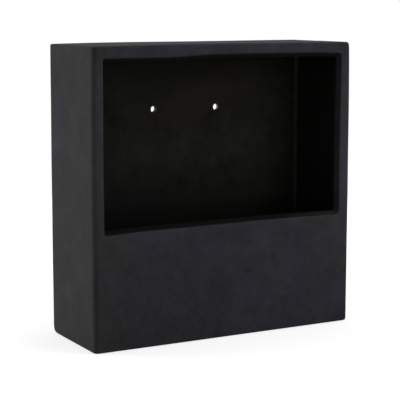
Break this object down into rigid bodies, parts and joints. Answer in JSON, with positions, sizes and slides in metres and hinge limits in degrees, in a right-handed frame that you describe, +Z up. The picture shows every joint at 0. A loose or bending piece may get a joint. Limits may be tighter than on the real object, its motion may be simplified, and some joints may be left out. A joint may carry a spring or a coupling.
{
  "type": "wall planter",
  "caption": "Square shallow matt black wall planter with a wide window over a soil trough and holes in its back plate for wall fixings.",
  "frame": {"origin": "under the middle of the box, on the face it stands on", "axes": "+Z up, +Y from the front face towards the wall, +X to the right as seen from the front"},
  "size_m": [0.4, 0.14, 0.4],
  "materials": {
    "black_fibreclay": "matte",
    "bare_fibreclay": "matte",
    "bonding_putty": "matte",
    "sealing_coat": "matte"
  },
  "bodies": {
    "root": {"planter_shell": "black_fibreclay", "back_plate": "bare_fibreclay", "bond_bead_bottom": "bonding_putty", "bond_bead_left": "bonding_putty", "bond_bead_top": "bonding_putty", "bond_bead_right": "bonding_putty", "shell_sealing_coat": "sealing_coat", "plate_sealing_coat": "sealing_coat"}
  },
  "joints": []
}
